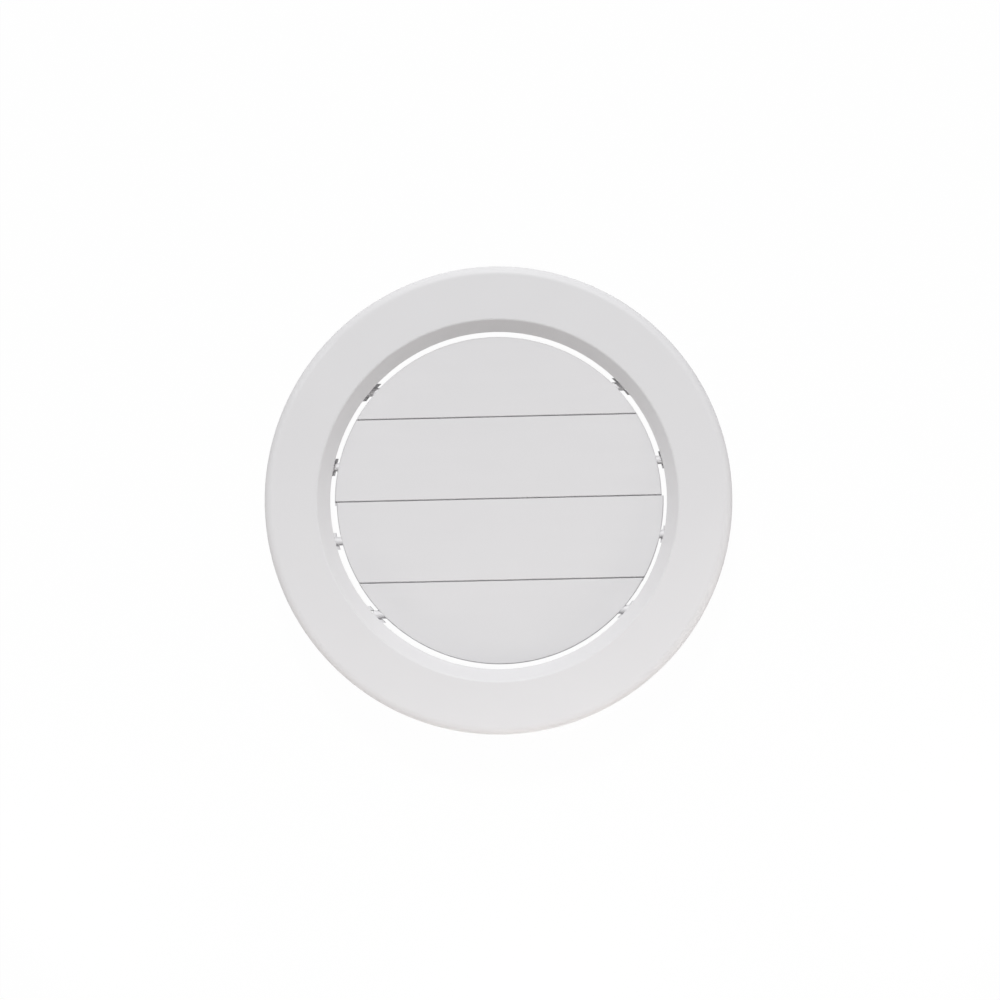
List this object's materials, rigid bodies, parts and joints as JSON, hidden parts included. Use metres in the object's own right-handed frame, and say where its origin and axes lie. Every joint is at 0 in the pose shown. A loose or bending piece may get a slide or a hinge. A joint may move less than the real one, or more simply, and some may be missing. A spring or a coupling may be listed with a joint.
{
  "type": "ceiling register",
  "caption": "Round white ceiling register: flat flange, bevelled throat and duct collar, with lapped louvers that turn on their own pins to open or close the air path.",
  "frame": {"origin": "on the collar's axis, in the plane of the flange's back edge that lies against the ceiling", "axes": "+Z out of the face into the room, +X along the louver pivots, +Y across them towards the top louver"},
  "size_m": [0.176, 0.176, 0.0282],
  "materials": {
    "frame_plastic": "satin white",
    "louver_plastic": "satin white"
  },
  "bodies": {
    "frame": {"register_frame": "frame_plastic"},
    "bottom_louver": {"bottom_louver": "louver_plastic"},
    "lower_louver": {"lower_louver": "louver_plastic"},
    "upper_louver": {"upper_louver": "louver_plastic"},
    "top_louver": {"top_louver": "louver_plastic"}
  },
  "joints": [
    {"name": "bottom_louver_pivot", "type": "hinge", "parent": "frame", "child": "bottom_louver", "pos_m": [0, -0.042, -0.0033], "axis": [1, 0, 0], "range_deg": [0, 40]},
    {"name": "lower_louver_pivot", "type": "hinge", "parent": "frame", "child": "lower_louver", "pos_m": [0, -0.014, -0.0033], "axis": [1, 0, 0], "range_deg": [0, 90]},
    {"name": "upper_louver_pivot", "type": "hinge", "parent": "frame", "child": "upper_louver", "pos_m": [0, 0.014, -0.0033], "axis": [1, 0, 0], "range_deg": [0, 90]},
    {"name": "top_louver_pivot", "type": "hinge", "parent": "frame", "child": "top_louver", "pos_m": [0, 0.042, -0.0033], "axis": [1, 0, 0], "range_deg": [0, 40]}
  ]
}
